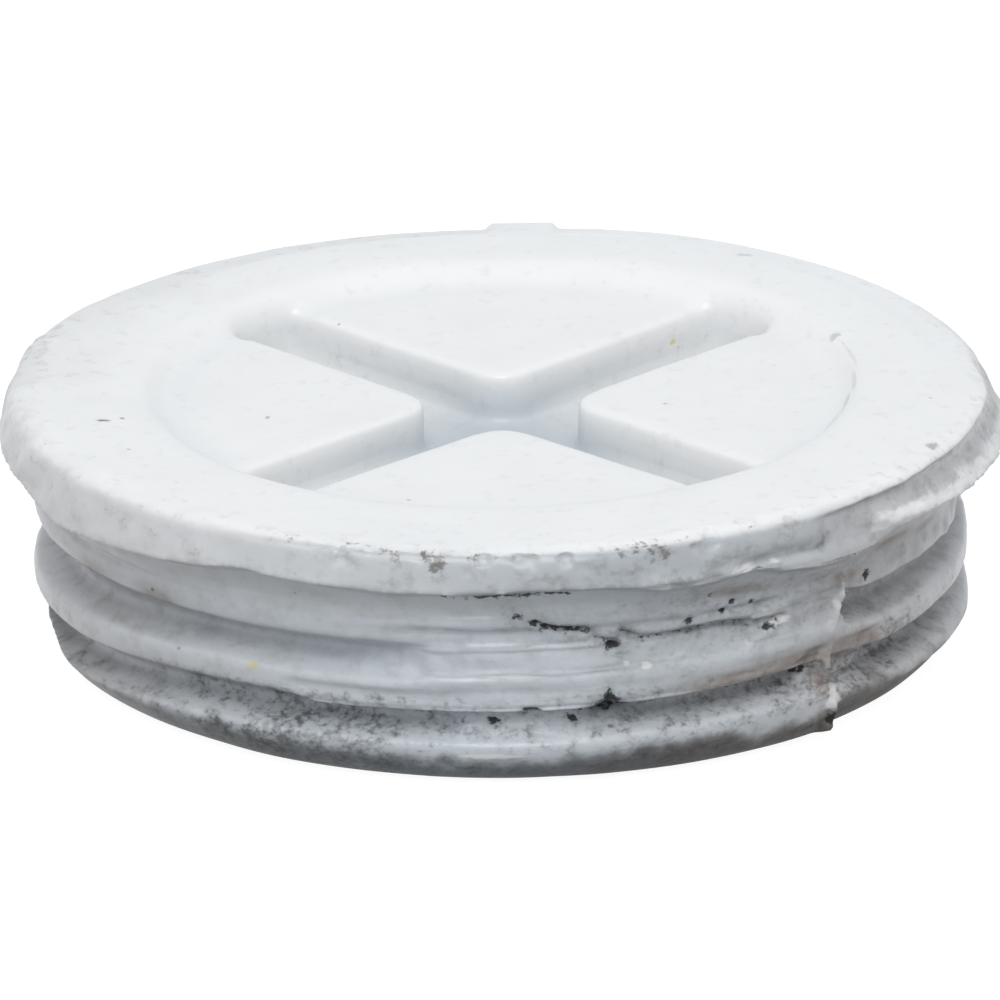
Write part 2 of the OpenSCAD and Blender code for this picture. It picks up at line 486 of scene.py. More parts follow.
class Skin:
    """The casting's vertices in millimetres, and the masks that the coat reads."""

    def __init__(self, obj):
        self.obj = obj
        flat = np.empty(len(obj.data.vertices) * 3)
        obj.data.vertices.foreach_get("co", flat)
        self.points = flat.reshape(-1, 3) / MM
        self.masks = {}
        self.ease = None

    @property
    def angle(self):
        return np.degrees(np.arctan2(self.points[:, 1], self.points[:, 0]))

    @property
    def left_angle(self):
        """The angle again, but unbroken across the left side."""
        return np.where(self.angle > 90, self.angle - 360, self.angle)

    @property
    def radius(self):
        return np.hypot(self.points[:, 0], self.points[:, 1])

    @property
    def height(self):
        return self.points[:, 2]

    @property
    def coil(self):
        """Turns above the first groove, so that the grooves lie at 0 and -1 and the crests between."""
        return (self.height - GROOVE_Z) / PITCH - (self.left_angle + 90) / 360

    def around(self, table):
        """A value that is given at some angles, and changes evenly between them."""
        return np.interp(self.angle, *zip(*table))

    def above(self, low, high):
        """0 below the first height, 1 above the second."""
        return smoothstep(low, high, self.height)

    def beyond(self, near, far):
        """0 inside the first radius, 1 outside the second."""
        return smoothstep(near, far, self.radius)

    def side(self, low, high, soft):
        """1 between two angles, with soft ends."""
        return between(low, high, soft, self.angle)

    def left_side(self, low, high, soft):
        """The same for angles that run on below -180, behind the left side."""
        return between(low, high, soft, self.left_angle)

    def zone(self, low, high, soft, bottom, top, fade):
        """1 between two angles and two heights, with soft sides."""
        return self.side(low, high, soft) * between(bottom, top, fade, self.height)

    def round_to(self, angle):
        """Distance round the wall to an angle, in millimetres."""
        return np.radians((self.angle - angle + 180) % 360 - 180) * WALL_R

    def spot(self, angle, height, half_w, half_h):
        """A soft round patch on the wall."""
        across = self.round_to(angle) / half_w
        up = (self.height - height) / half_h
        return np.exp(-across**2 - up**2)

    def blot(self, angle, radius, height, half_w):
        """A soft round patch anywhere on the casting."""
        centre = (radius * math.cos(math.radians(angle)), radius * math.sin(math.radians(angle)), height)
        gap = (self.points - np.array(centre)) * (1, 1, 0.5)
        return np.exp(-(gap**2).sum(axis=1) / half_w**2)

    def stroke(self, path, half_w):
        """A soft line on the wall through the given angles and heights."""
        nearest = np.full(len(self.points), 1e9)
        middle = path[len(path) // 2][0]
        here = np.stack([self.round_to(middle), self.height], axis=1)
        corners = [np.array([math.radians(a - middle) * WALL_R, z]) for a, z in path]
        for start, end in zip(corners, corners[1:]):
            way = end - start
            t = np.clip((here - start) @ way / (way @ way), 0, 1)
            gap = here - start - t[:, None] * way
            nearest = np.minimum(nearest, np.hypot(gap[:, 0], gap[:, 1]))
        return np.exp(-((nearest / half_w) ** 2))

    def smears(self, length, size, seed):
        """The noise again, drawn out round the wall to the given length."""
        along = np.radians(self.left_angle) * WALL_R
        drawn = np.stack([along / length, self.radius / size, self.height / size], axis=1)
        return self.noise(1.0, seed, drawn)

    def noise(self, size, seed, points=None):
        """Smooth noise from -1 to 1 with features of the given size in millimetres."""
        cells = 32
        lattice = np.random.default_rng(seed).uniform(-1, 1, (cells,) * 3)
        place = (self.points if points is None else points) / size + 500.0
        corner = np.floor(place).astype(int)
        t = place - corner
        t = t * t * (3 - 2 * t)
        total = np.zeros(len(self.points))
        for step in np.ndindex(2, 2, 2):
            weight = np.prod(np.where(step, t, 1 - t), axis=1)
            total += weight * lattice[tuple(((corner + step) % cells).T)]
        return total

    def outside(self):
        """1 on the outer wall and head, 0 in the hollow back and the driver recess."""
        return smoothstep(SKIRT_R - 0.2, SKIRT_R, self.radius)

    def push_out(self, amount):
        """Moves vertices away from the axis by amount in millimetres."""
        reach = self.radius
        scale = 1 + amount * self.outside() / np.maximum(reach, 1.0)
        self.points[:, :2] *= scale[:, None]

    def lift(self, amount):
        self.points[:, 2] += amount

    def draw_to(self, radius, share):
        """Brings the wall to a radius by a share of the way."""
        self.push_out((radius - self.radius) * share)

    def mark(self, name, amount):
        """Adds to a mask, which ends between 0 and 1."""
        self.masks[name] = np.clip(self.masks.get(name, 0.0) + amount, 0, 1)

    def write(self):
        mesh = self.obj.data
        mesh.vertices.foreach_set("co", (self.points * MM).ravel())
        for name, values in self.masks.items():
            attribute = mesh.attributes.new(name, "FLOAT", "POINT")
            attribute.data.foreach_set("value", np.broadcast_to(values, len(self.points)).astype(np.float32))
        mesh.update()


# Heights of the ring and of the head's lower edge as turned
RING_Z = 7.4
UNDER_HEAD = 6.15
# The lower edge's height round the finished plug: angle and height
HEAD_EDGE = (
    (-180, 5.72), (-165, 5.72), (-153, 5.45), (-143, 5.62), (-133, 5.8), (-127, 5.98), (-121, 6.15),
    (-114, 6.1), (-104, 6.02), (-96, 6.1), (-88, 6.22), (-78, 6.22), (-71, 6.0), (-64, 6.05), (-59, 6.2),
    (-55, 6.0), (-50, 5.85), (-45, 5.8), (-38, 6.15), (-31, 6.18), (-25, 6.08), (-20, 6.06), (-9, 5.9),
    (0, 5.8), (40, 6.1), (85, 6.2), (130, 6.05), (180, 5.72),
)


def warp(skin):
    """The slow unevenness of a casting under a thick coat."""
    skin.push_out(0.05 * skin.noise(5.0, 1) + 0.03 * skin.noise(1.6, 2))
    on_head = skin.above(6.2, 6.9)
    across = skin.points[:, 0]
    rise = 0.085 * across / 14 + 0.1 * smoothstep(-1, 5, across)
    skin.lift(on_head * (rise + 0.03 * skin.noise(4.0, 3) + 0.015 * skin.noise(1.3, 4)))


# How square the shears left the shoulder, and how far its far side is worn: angle and share
SQUARE = (
    (-172, 0), (-150, 0.4), (-130, 0.65), (-116, 1), (-90, 0.92), (-75, 0.85), (-60, 0.75), (-47, 0.5),
    (-30, 0.5), (-6, 0.55), (8, 0),
)
FAR_SIDE = ((0, 0), (15, 1.0), (60, 1.0), (90, 1.5), (120, 1.2), (160, 0))


def shape_head(skin):
    """The head's side: its lower edge is uneven, and the shoulder is sheared square in front."""
    edge = skin.around(HEAD_EDGE) + 0.04 * skin.noise(0.8, 5)
    under = skin.beyond(12.75, 13.1) * skin.above(5.9, 6.1)
    skin.lift((edge - UNDER_HEAD) * under * (1 - skin.above(6.25, 7.1)))
    square = skin.around(SQUARE) * skin.above(6.3, 6.9)
    skin.lift(square * 0.5 * np.clip(RING_Z - skin.height, 0, 0.75) * skin.beyond(11, 12.6))
    skin.push_out(square * np.interp(skin.radius, (10.5, 12.65, 13.6, 13.95), (0, 0.75, 0.3, 0)))
    left = skin.left_side(-205, -135, 25)
    low = between(5.3, 6.3, 0.6, skin.height) * skin.beyond(13.1, 13.6)
    skin.push_out(0.06 * left * low)
    skin.push_out(-0.25 * skin.zone(-58, -43, 6, 5.8, 6.4, 0.3))
    far = skin.around(FAR_SIDE) * skin.above(6.3, 7.0)
    skin.push_out(-0.15 * far * skin.beyond(12.2, 13.2))
    skin.lift(-0.1 * far * skin.beyond(12.0, 12.8))


def batter_shoulder(skin):
    """Lumps and shallow knocks on the head's shoulder at both sides, where the coat is rough."""
    sides = np.maximum(skin.left_side(-205, -128, 12), 0.6 * skin.side(-50, 0, 8))
    here = sides * skin.beyond(12.6, 13.4) * skin.above(5.7, 6.2)
    skin.push_out(here * (0.09 * skin.noise(1.1, 14) + 0.05 * skin.noise(0.45, 15)))
    skin.lift(here * (0.06 * skin.noise(0.9, 16) + 0.03 * skin.noise(0.4, 17)))


def sink_sides(skin):
    """At both sides the grooves run lower, and the last crest or the foot is worn back."""
    left = skin.left_side(-215, -160, 35)
    skin.lift(-0.35 * left * between(1.3, 3.4, 0.8, skin.height) * skin.outside())
    skin.push_out(-0.32 * skin.left_side(-215, -172, 16) * between(0.4, 1.0, 0.35, skin.height))
    right = smoothstep(-46, -43.5, skin.angle) * (1 - smoothstep(-16, -4, skin.angle))
    skin.push_out(-0.25 * right * (1 - skin.above(0.7, 1.3)))
    far_right = smoothstep(-49, -33, skin.angle) * (1 - smoothstep(40, 80, skin.angle))
    skin.lift(-0.42 * far_right * between(1.7, 4.6, 0.75, skin.height) * skin.outside())
    skin.push_out(-0.3 * skin.zone(-7, 30, 8, 3.75, 4.9, 0.3))


# The height of the rolled lip: angle and height
LIP = ((-42, 6.6), (-36, 6.5), (-31, 6.36), (-21, 6.3), (-8, 6.15), (4, 6.1))


def roll_lip(skin):
    """The lip of flash that the shears rolled over the head's edge on the right."""
    along = skin.side(-40, 6, 5)
    ragged = skin.noise(0.7, 11) + 0.6 * skin.noise(0.35, 18)
    middle = 0.07 * ragged + skin.around(LIP)
    lip = np.exp(-(((skin.height - middle) / 0.22) ** 2)) * skin.beyond(13.2, 13.6)
    skin.push_out(along * lip * (0.2 + 0.1 * ragged))
    above = between(6.82, 7.18, 0.2, skin.height - 0.004 * (skin.angle + 37))
    above *= skin.beyond(12.9, 13.7)
    skin.push_out(-0.26 * skin.side(-45, 6, 9) * above)
    left = skin.left_side(-172, -128, 10) * skin.beyond(12.0, 12.6)
    left *= skin.above(6.5, 6.8)
    lip_edge = 0.5 * along * skin.beyond(12.6, 13.1) * skin.above(5.8, 6.2)
    skin.ease = np.maximum(left, lip_edge)


def crumble_lip(skin):
    """Breaks up the rolled lip, once the skin is smooth."""
    along = skin.side(-38, 4, 5) * skin.beyond(13.5, 13.8)
    lip = along * np.exp(-(((skin.height - 6.4) / 0.28) ** 2))
    skin.push_out(lip * (0.09 * skin.noise(0.5, 27) + 0.07 * skin.noise(0.28, 28)))
    skin.lift(lip * 0.05 * skin.noise(0.4, 29))


def tear_edge(skin):
    """Where the shears lifted the head's lower edge and left it ragged."""
    along = skin.side(-71, -53, 4)
    ragged = skin.noise(0.6, 6)
    line = 6.22 + 0.1 * ragged
    lip = np.exp(-(((skin.height - line) / 0.14) ** 2)) * along * skin.beyond(13.2, 13.6)
    skin.push_out(lip * (0.12 + 0.14 * ragged))
    skin.lift(lip * 0.08 * skin.noise(0.4, 12))
    neck = along * between(5.3, 6.0, 0.2, skin.height)
    skin.draw_to(13.0 + 0.1 * ragged, 0.7 * neck)


# Where crests are smeared: angles, what the next two count, those two with their fade, the radius,
# how much it leans back and is roughened, and the share of the way that the wall is drawn to it
PRESSED = (
    ((-94, -77.5, 18), "height", (2.6, 4.6, 0.35), 13.22, 1, 1, 1),
    ((-76, -54, 4), "height", (2.75, 4.7, 0.3), 13.16, 0.6, 1, 0.75),
    ((-56, -42.5, 2), "height", (3.2, 6.0, 0.5), 13.16, 0, 1, 0.8),
    ((-94, -79, 6), "height", (1.6, 2.6, 0.3), 13.0, 0, 1, 0.5),
    ((-112, -46, 8), "coil", (-0.8, -0.5, 0.08), 13.12, 0, 1, 0.85),
    ((-49, -39, 3), "height", (1.9, 2.9, 0.2), 12.95, 0, 2, 0.7),
    ((-88, -54, 6), "height", (4.75, 5.6, 0.25), 12.93, 0, 2.5, 0.6),
)


def press_thread(skin):
    """The gate's side of the thread, where the shears smeared crests into the grooves."""
    rough = 0.04 * skin.noise(1.1, 7) + 0.02 * skin.noise(0.4, 8) + 0.04 * skin.smears(1.6, 0.3, 24)
    ragged = skin.angle + 3 * skin.noise(0.8, 25)
    lean = 0.14 * (skin.height - 2.8)
    for angles, count, levels, radius, back, roughness, share in PRESSED:
        part = between(*angles, ragged) * between(*levels, getattr(skin, count))
        skin.draw_to(radius - back * lean + roughness * rough, share * part)
    smear = skin.zone(-62, -18, 8, 4.4, 5.9, 0.3)
    skin.push_out(smear * (0.12 * skin.smears(1.8, 0.35, 19) + 0.06 * skin.noise(0.4, 20)))
    skin.push_out(-0.1 * skin.stroke(TORN_SCAR, 0.1) - 0.2 * skin.stroke(PRESSED_LINE, 0.1))


# How far the coat and the smeared metal fill the corner under the head: angle and share
NECK_FILL = (
    (-180, 0.9), (-97, 0.95), (-85, 0.85), (-60, 0.9), (-50, 1), (-42, 1), (-34, 0.95), (-20, 0.85),
    (-8, 0.4), (0, 0.35), (90, 0.35), (140, 0.6), (180, 0.9),
)


def fill_neck(skin):
    """The corner between the relief and the head's underside slopes, and its coat is lumpy."""
    below = skin.height - skin.around(HEAD_EDGE)
    slope = 13.16 + 0.24 * smoothstep(-1.1, -0.15, below) + 0.48 * smoothstep(-0.28, 0.0, below)
    slope += 0.14 * skin.side(-68, -22, 8) * smoothstep(-0.9, -0.2, below)
    neck = between(4.95, 6.15, 0.25, skin.height) * skin.outside()
    missing = np.clip(slope - skin.radius, 0, 1.5)
    skin.push_out(missing * neck * skin.around(NECK_FILL))
    skin.push_out(neck * (0.05 * skin.smears(1.5, 0.4, 21) + 0.02 * skin.noise(0.5, 22)))


def raise_fin(skin):
    """The fin of metal on the die's parting line, and its foot at the rim."""
    fin = skin.stroke(PARTING_FIN, 0.15) * between(0.5, 4.9, 0.3, skin.height)
    skin.draw_to(13.3 + 0.14 * skin.noise(0.6, 9) + 0.12 * skin.noise(0.3, 23), 0.9 * fin)
    skin.push_out(0.05 * skin.spot(-47, 0.7, 0.6, 0.35))


def raise_nub(skin):
    """The stub of the gate on the far edge of the head."""
    nub = skin.side(84, 91, 1.2)
    nub *= skin.above(6.2, 6.8) * skin.beyond(12.0, 13.0)
    skin.push_out(0.3 * nub)
    skin.lift(0.08 * nub)


def dent_edge(skin):
    """Small knocks along the sheared front edge."""
    edge = skin.zone(-112, -55, 6, 6.9, 7.5, 0.1) * skin.beyond(13.1, 13.6)
    knocks = smoothstep(0.25, 0.6, skin.noise(0.45, 13))
    skin.push_out(-0.1 * edge * knocks)
    skin.lift(-0.05 * edge * knocks)


def dig_pits(skin):
    """The holes that the trim left in the wall."""
    for angle, height, half_w, half_h, depth in PITS:
        hole = skin.spot(angle, height, half_w, half_h)
        skin.push_out(-depth * hole * (0.8 + 0.3 * skin.noise(0.35, 10)))


# Smoothing passes on the lip and the left shoulder once they are sculpted
EASE_PASSES = 14


class PLUG_OT_wear(bpy.types.Operator):
    """Sculpt the flash, trim marks and knocks on the casting"""
    bl_idname = "plug.wear"
    bl_label = "Flash and knocks"

    def execute(self, context):
        casting = bpy.data.objects["plug_casting"]
        skin = Skin(casting)
        for work in (
                warp, shape_head, batter_shoulder, sink_sides, roll_lip, tear_edge, press_thread, fill_neck,
                raise_fin, raise_nub, dent_edge, dig_pits):
            work(skin)
        skin.write()
        relax(casting, EASE_PASSES, skin.ease)
        thin_out(casting, Skin(casting))
        skin = Skin(casting)
        crumble_lip(skin)
        soil_and_shade(skin)
        skin.write()
        activate(casting)
        bpy.ops.object.shade_smooth()
        return {"FINISHED"}


# How much dirt and painted shade lie on each part of the wall, all the way round: angle and amount
NECK_GRIME_AND_SHADE = (
    (-180, 0.12), (-145, 0.1), (-115, 0.04), (-100, 0.04), (-90, 0.1), (-78, 0.3), (-65, 0.22),
    (-57, 0.06), (-48, 0.04), (-36, 0.1), (-20, 0.2), (0, 0.3), (90, 0.3), (180, 0.12),
)
UPPER_GRIME_AND_SHADE = (
    (-180, 0.34), (-160, 0.34), (-140, 0.26), (-120, 0.14), (-100, 0.04), (-80, 0.08), (-62, 0.18),
    (-50, 0.3), (-40, 0.5), (-20, 0.46), (0, 0.4), (90, 0.3), (180, 0.4),
)
LOWER_GRIME_AND_SHADE = (
    (-180, 0.16), (-150, 0.2), (-130, 0.36), (-110, 0.42), (-95, 0.34), (-80, 0.36), (-62, 0.5),
    (-45, 0.45), (-40, 0.5), (-28, 0.62), (-10, 0.45), (0, 0.5), (90, 0.4), (180, 0.36),
)
CREST_GRIME_AND_SHADE = (
    (-180, 0.12), (-150, 0.1), (-125, 0.14), (-100, 0.06), (-80, 0.06), (-60, 0.12), (-48, 0.2),
    (-30, 0.4), (-10, 0.3), (0, 0.25), (180, 0.12),
)
FOOT_GRIME_AND_SHADE = (
    (-180, 0.5), (-150, 0.5), (-125, 0.8), (-95, 0.85), (-70, 1), (-45, 1), (-25, 0.95), (0, 0.85),
    (90, 0.7), (180, 0.6),
)
HEAD_GRIME_AND_SHADE = (
    (-180, 0.06), (-155, 0.03), (-130, 0.04), (-110, 0.08), (-95, 0.2), (-70, 0.25), (-50, 0.18),
    (-40, 0.18), (-20, 0.26), (0, 0.22), (60, 0.1), (180, 0.15),
)
SPECKLED = (
    (-180, 0.25), (-140, 0.35), (-118, 0.9), (-104, 0.7), (-90, 0.45), (-75, 0.5), (-60, 0.6), (-46, 0.8),
    (-30, 0.6), (-10, 0.3), (0, 0.3), (180, 0.25),
)

# Bare, smeared metal: angle, height, half width and half height of each patch
BARE = (
    (-60, 2.6, 1.6, 0.32), (-53, 2.8, 1.1, 0.2), (-45.5, 2.8, 1.5, 0.28), (-40, 2.75, 0.8, 0.25),
    (-43, 4.85, 0.6, 0.2), (-34, 5.35, 0.8, 0.16), (-60.5, 5.4, 0.8, 0.16), (-45.5, 1.9, 0.35, 0.4),
    (-25, 5.2, 0.6, 0.14), (-137, 4.2, 0.6, 0.3), (-150, 4.0, 0.8, 0.3),
)

# White: torn coat, and painted highlights on the rolled lip, along the head's lower edge and on small lumps
WHITE = (
    (-71.5, 6.1, 0.35, 0.1), (-65, 6.12, 0.5, 0.12), (-61.5, 6.22, 0.45, 0.12), (-56.3, 6.3, 0.2, 0.05),
    (-40.5, 6.55, 0.4, 0.18), (-37.5, 6.5, 0.7, 0.2), (-33.5, 6.38, 0.8, 0.2), (-28, 6.32, 0.9, 0.2),
    (-20, 6.3, 1.2, 0.22), (-10, 6.3, 1.2, 0.24), (-95.5, 6.15, 0.35, 0.08), (-53, 4.1, 0.35, 0.12),
    (-72, 3.5, 0.12, 0.1), (-74.5, 3.65, 0.08, 0.08), (-43.7, 4.25, 0.16, 0.45), (-98, 4.75, 0.3, 0.06),
    (-93, 5.15, 0.6, 0.05), (-45, 1.3, 0.25, 0.4), (-90, 1.05, 0.9, 0.06), (-88, 3.4, 0.9, 0.05),
)

# Chips through the coat on the shoulder: angle, distance from the axis, height and half width
CHIPS = (
    (-115.4, 13.8, 7.35, 0.11), (-110.2, 13.7, 7.4, 0.1), (-108, 13.75, 7.38, 0.13),
    (-105.5, 13.7, 7.38, 0.08), (-103.8, 13.8, 7.33, 0.12), (-102.2, 13.9, 7.2, 0.12),
    (-99, 13.9, 7.3, 0.1), (-97.6, 13.95, 7.0, 0.18), (-96.7, 13.97, 6.95, 0.12), (-93, 13.95, 7.2, 0.13),
    (-90.5, 13.9, 7.35, 0.08), (-77.2, 13.8, 7.35, 0.12), (-76.0, 13.9, 7.1, 0.1),
    (-74.2, 13.8, 7.3, 0.16), (-72.5, 13.9, 7.2, 0.13), (-70.8, 13.95, 7.1, 0.14),
    (-68.5, 13.8, 7.3, 0.08), (-59.5, 13.8, 7.35, 0.08),
)


# Heights of the dirt and painted shade on the foot, and of the shoulder's turn-over, below which the wall is
# painted in shade: angle and height
FOOT_TOP = (
    (-180, 1.2), (-130, 1.35), (-114, 1.4), (-95, 1.2), (-85, 1.15), (-72, 1.4), (-64, 1.45), (-56, 1.1),
    (-50, 1.1), (-44, 1.6), (-38, 1.6), (-25, 1.4), (0, 1.3), (180, 1.2),
)
TURN_OVER = (
    (-180, 7.0), (-130, 7.05), (-110, 7.32), (-62, 7.34), (-50, 7.42), (-40, 7.38), (-28, 7.2), (0, 7.1),
    (180, 7.0),
)
# How coarse and how brown the grime and its painted shade are, how warm the wall's painted shade is, how much
# of the wall's painted shade is taken off, and how dusty the ring is: angle and share
GRITTY = ((-180, 0.1), (-150, 0.2), (-122, 0.9), (-60, 1), (-42, 0.8), (-28, 0.25), (-10, 0.1), (180, 0.1))
BROWN = (
    (-180, 0.9), (-150, 0.85), (-125, 0.4), (-95, 0), (-80, 0.3), (-66, 0.8), (-50, 1), (-20, 1),
    (0, 0.8), (180, 0.9),
)
WARM = (
    (-180, 0.9), (-150, 0.85), (-125, 0.4), (-95, 0), (-60, 0.3), (-40, 0.9), (-20, 0.85), (0, 0.8),
    (180, 0.9),
)
SHADE_TAKEN_OFF = (
    (-180, 0.5), (-150, 0.55), (-130, 0.6), (-115, 0.55), (-100, 0.45), (-88, 0.25), (-78, 0.05), (0, 0),
    (180, 0.5),
)
RING_DUST = ((-180, 0.3), (-120, 0.15), (-60, 0.2), (-30, 0.35), (0, 0.3), (90, 0.1), (180, 0.3))


def wall_soil_and_shade(skin):
    """Dirt and painted shade in the grooves, on the last crest, the foot and the head's side, and the outer
    wall's painted shade.
    """
    height, radius, coil = skin.height, skin.radius, skin.coil
    wall = skin.outside() * (1 - smoothstep(5.9, 6.2, height))
    rolled = skin.side(-40, 6, 5) * smoothstep(13.95, 14.1, radius)
    deep = smoothstep(13.16, 12.7, radius) * wall
    neck = smoothstep(0.38, 0.62, coil)
    upper = between(-0.5, 0.5, 0.12, coil) * (1 - neck)
    lower = between(-1.5, -0.5, 0.12, coil) * (1 - upper)
    grooves = neck * skin.around(NECK_GRIME_AND_SHADE) + upper * skin.around(UPPER_GRIME_AND_SHADE)
    grooves += lower * skin.around(LOWER_GRIME_AND_SHADE)
    last_crest = between(0.8, 1.7, 0.3, height) * (1 - deep) * wall
    gate = skin.zone(-74, -30, 6, 2.2, 5.6, 0.5) * wall
    smeared = skin.zone(-66, -20, 8, 4.6, 6.0, 0.25) * (1 - rolled)
    torn = 0.6 * skin.stroke(TORN_SCAR, 0.4) + 0.45 * skin.stroke(PRESSED_LINE, 0.2)
    torn += 0.6 * skin.spot(-76.4, 2.35, 0.9, 0.4)
    # The grime mask paints dirt and shade together, darkest in the grooves and on the foot.
    thread = deep * grooves + last_crest * skin.around(CREST_GRIME_AND_SHADE)
    skin.mark("grime", 0.65 * thread + 0.1 * gate + 0.1 * smeared + 0.5 * torn)
    foot = 1 - smoothstep(-0.7, 0.0, height + 0.2 * skin.noise(0.5, 26) - skin.around(FOOT_TOP))
    foot *= skin.outside()
    side = skin.outside() * between(6.1, 7.25, 0.15, height) * (1 - rolled)
    skin.mark("grime", foot * skin.around(FOOT_GRIME_AND_SHADE) + side * skin.around(HEAD_GRIME_AND_SHADE))
    skin.mark("speck", 0.8 * skin.around(SPECKLED) * (between(-1.4, -0.68, 0.22, coil) * wall + foot))
    skin.mark("gritty", skin.around(GRITTY) * wall)
    skin.mark("warm", skin.outside() * skin.around(WARM))
    skin.mark("brown", skin.around(BROWN))
    # The wall mask paints the outer wall below the shoulder in shade; the rolled lip and the parts near the
    # head's lower edge get less of it.
    above_edge = height - skin.around(HEAD_EDGE)
    shade_taken_off = 0.6 * smoothstep(-1.2, -0.9, above_edge) + 0.4 * smoothstep(-0.15, 0.05, above_edge)
    wall_share = (1 - 0.75 * rolled) * (1 - shade_taken_off * skin.around(SHADE_TAKEN_OFF))
    skin.mark("wall", skin.outside() * (1 - smoothstep(-0.2, 0.12, height - skin.around(TURN_OVER))) * wall_share)


def top_dust_and_shade(skin):
    """Dust on the ring, and painted shade low in the driver recess, darkest at the middle, and on the slots'
    end walls.
    """
    height, radius = skin.height, skin.radius
    inside = (1 - skin.outside()) * smoothstep(4.2, 4.6, height)
    low = 1 - smoothstep(5.9, 6.75, height)
    skin.mark("dust", 0.2 + smoothstep(12.6, 13.6, radius) * skin.around(RING_DUST))
    skin.mark("dust", 0.15 * inside * low)
    # Painted shade on the slots' end walls, and low in the recess, darkest near the axis.
    ends = between(9.0, 10.2, 0.4, radius) * smoothstep(5.6, 6.0, height) * (1 - smoothstep(6.6, 7.1, height))
    middle = np.exp(-((radius / 3.4) ** 2))
    skin.mark("pool", inside * (low * (0.16 + 0.84 * middle) + 0.1 * ends))


def soil_and_shade(skin):
    """Works out where dirt, bare metal, torn coat, painted shade and painted highlights lie, from the
    finished shape.
    """
    wall_soil_and_shade(skin)
    top_dust_and_shade(skin)
    # White patches are torn coat and painted highlights.
    for name, strength, places in (("bare", 1.5, BARE), ("white", 1.5, WHITE), ("dirt", 1.6, PITS)):
        for place in places:
            skin.mark(name, strength * skin.spot(*place[:4]))
    # The stroke under the head's lower edge paints a shadow line; the others are dirt in scars and seams.
    for path, strength, half_w in (
            (TORN_SCAR, 0.35, 0.09), (PRESSED_LINE, 0.35, 0.08),
            (SHADOW_UNDER_EDGE, 0.8, 0.08), (LOWER_SEAM, 0.6, 0.09)):
        skin.mark("dirt", strength * skin.stroke(path, half_w))
    right_grit = skin.spot(-32, 2.65, 1.1, 0.35) + skin.spot(-31, 1.85, 1.1, 0.45)
    skin.mark("grime", 0.08 * right_grit)
    skin.mark("speck", 0.3 * right_grit)
    for name in ("bare", "white", "dirt", "grime", "speck"):
        skin.masks[name] *= skin.outside()
    for place in CHIPS:
        skin.mark("chips", 1.2 * skin.blot(*place))


# The finished casting's triangles
TRIANGLES = 190000


def triangle_count(obj):
    return sum(len(face.vertices) - 2 for face in obj.data.polygons)


def thin_out(obj, skin):
    """Brings the skin down to its triangles, and keeps the sheared side of the wall fine."""
    plain = 1 - skin.side(-140, -10, 10) * skin.outside() * (1 - skin.above(7.1, 7.3))
    weigh(obj, "plain", plain)
    apply_modifier(
        obj, "DECIMATE", ratio=TRIANGLES / triangle_count(obj), vertex_group="plain", vertex_group_factor=1.0)
    obj.vertex_groups.clear()


# ---------------------------------------------------------------- materials


def principled(name):
    material = bpy.data.materials.new(name)
    material.use_nodes = True
    return material, material.node_tree.nodes, material.node_tree.links


class Tree:
    """Short ways to add and join the nodes of one tree."""

    def __init__(self, tree):
        self.nodes = tree.nodes
        self.links = tree.links

    def put(self, kind, inputs=None, **settings):
        node = self.nodes.new(kind)
        for name, value in settings.items():
            setattr(node, name, value)
        for name, value in (inputs or {}).items():
            if isinstance(value, bpy.types.NodeSocket):
                self.links.new(value, node.inputs[name])
            else:
                node.inputs[name].default_value = value
        return node

    def math(self, operation, first, second=0.0, third=0.0, clamp=False):
        node = self.put(
            "ShaderNodeMath", {0: first, 1: second, 2: third}, operation=operation, use_clamp=clamp)
        return node.outputs[0]

    def times(self, first, second):
        return self.math("MULTIPLY", first, second)

    def vector(self, operation, first, second=(0, 0, 0), output=0):
        return self.put("ShaderNodeVectorMath", {0: first, 1: second}, operation=operation).outputs[output]

    def ramp(self, value, low, high):
        """A soft step from 0 at low to 1 at high."""
        return self.put(
            "ShaderNodeMapRange", {"Value": value, "From Min": low, "From Max": high},
            interpolation_type="SMOOTHSTEP").outputs["Result"]

    def mask(self, name):
        return self.put("ShaderNodeAttribute", attribute_name=name).outputs["Fac"]

    def mix(self, amount, first, second):
        return self.put("ShaderNodeMix", {"Factor": amount, 6: first, 7: second}, data_type="RGBA").outputs[2]

    def use(self, made, **inputs):
        """The output of a node group with the given inputs."""
        return self.put("ShaderNodeGroup", inputs, node_tree=made).outputs[0]


def group(name, result, **inputs):
    """An empty node group. An input has a number as its default, or None for a vector."""
    made = bpy.data.node_groups.new(name, "ShaderNodeTree")
    for socket, default in inputs.items():
        kind = "NodeSocketVector" if default is None else "NodeSocketFloat"
        item = made.interface.new_socket(name=socket, in_out="INPUT", socket_type=kind)
        if default is not None:
            item.default_value = default
    kind = "NodeSocketVector" if result == "Vector" else "NodeSocketFloat"
    made.interface.new_socket(name=result, in_out="OUTPUT", socket_type=kind)
    tree = Tree(made)
    return made, tree, tree.put("NodeGroupInput").outputs, tree.put("NodeGroupOutput").inputs


def round_group():
    """Places counted round the wall, so that streaks can run along it."""
    made, tree, _, out = group("Round the wall", "Vector")
    place = tree.put("ShaderNodeTexCoord").outputs["Object"]
    at = tree.put("ShaderNodeSeparateXYZ", {"Vector": place}).outputs
    back = tree.times(at["Y"], -1.0)
    turn_round = tree.times(tree.math("ARCTAN2", at["X"], back), WALL_R * MM)
    radius = tree.vector("LENGTH", tree.vector("MULTIPLY", place, (1, 1, 0)), output="Value")
    vector = tree.put("ShaderNodeCombineXYZ", {"X": turn_round, "Y": radius, "Z": at["Z"]}).outputs[0]
    tree.links.new(vector, out["Vector"])
    return made


